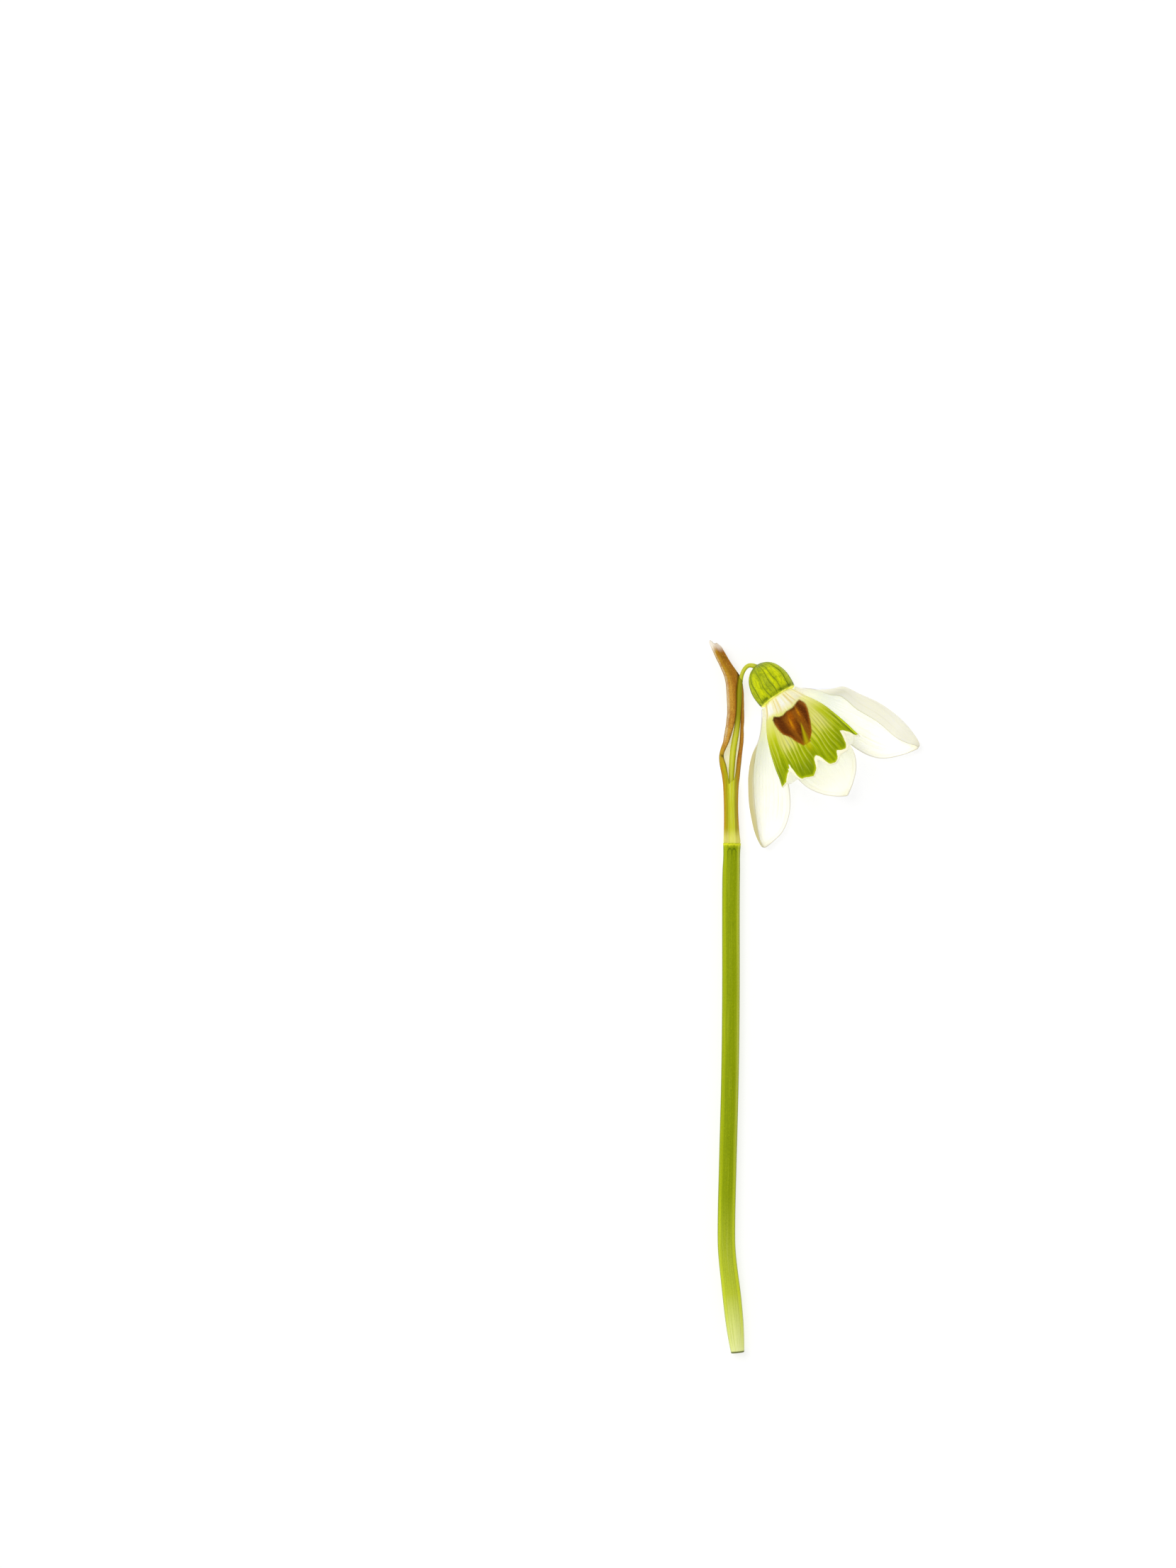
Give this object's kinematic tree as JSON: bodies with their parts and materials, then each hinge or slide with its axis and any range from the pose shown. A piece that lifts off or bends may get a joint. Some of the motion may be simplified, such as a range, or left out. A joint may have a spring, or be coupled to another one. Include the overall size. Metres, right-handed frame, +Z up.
{
  "type": "snowdrop flower",
  "caption": "Cut snowdrop lying on its side: bent stem, split papery sheath, arched stalk, ribbed ovary, spreading white outer tepals round a notched green bell with pointed stamens.",
  "frame": {"origin": "on the surface that the flower lies on, under the middle of its bounding box", "axes": "+Y runs along the stem from its cut end to the flower, +Z points up from the surface, and +X is the side that the flower leans to"},
  "size_m": [0.0356, 0.1206, 0.0124],
  "materials": {
    "scape": "smooth, finely striped, waxy",
    "spathe": "dry and papery, striped along its length",
    "pedicel": "smooth and waxy",
    "pistil": "smooth, with sunken dark veins",
    "outer_tepal": "matt, translucent, faintly veined",
    "inner_tepal": "matt, translucent, pale veins",
    "stamen": "matt"
  },
  "bodies": {
    "root": {"scape": "scape", "spathe": "spathe", "pedicel": "pedicel", "pistil": "pistil", "outer_tepal_right": "outer_tepal", "outer_tepal_left": "outer_tepal", "outer_tepal_back": "outer_tepal", "inner_tepal_front": "inner_tepal", "inner_tepal_right": "inner_tepal", "inner_tepal_left": "inner_tepal", "stamen_1": "stamen", "stamen_2": "stamen", "stamen_3": "stamen", "stamen_4": "stamen", "stamen_5": "stamen", "stamen_6": "stamen"}
  },
  "joints": []
}
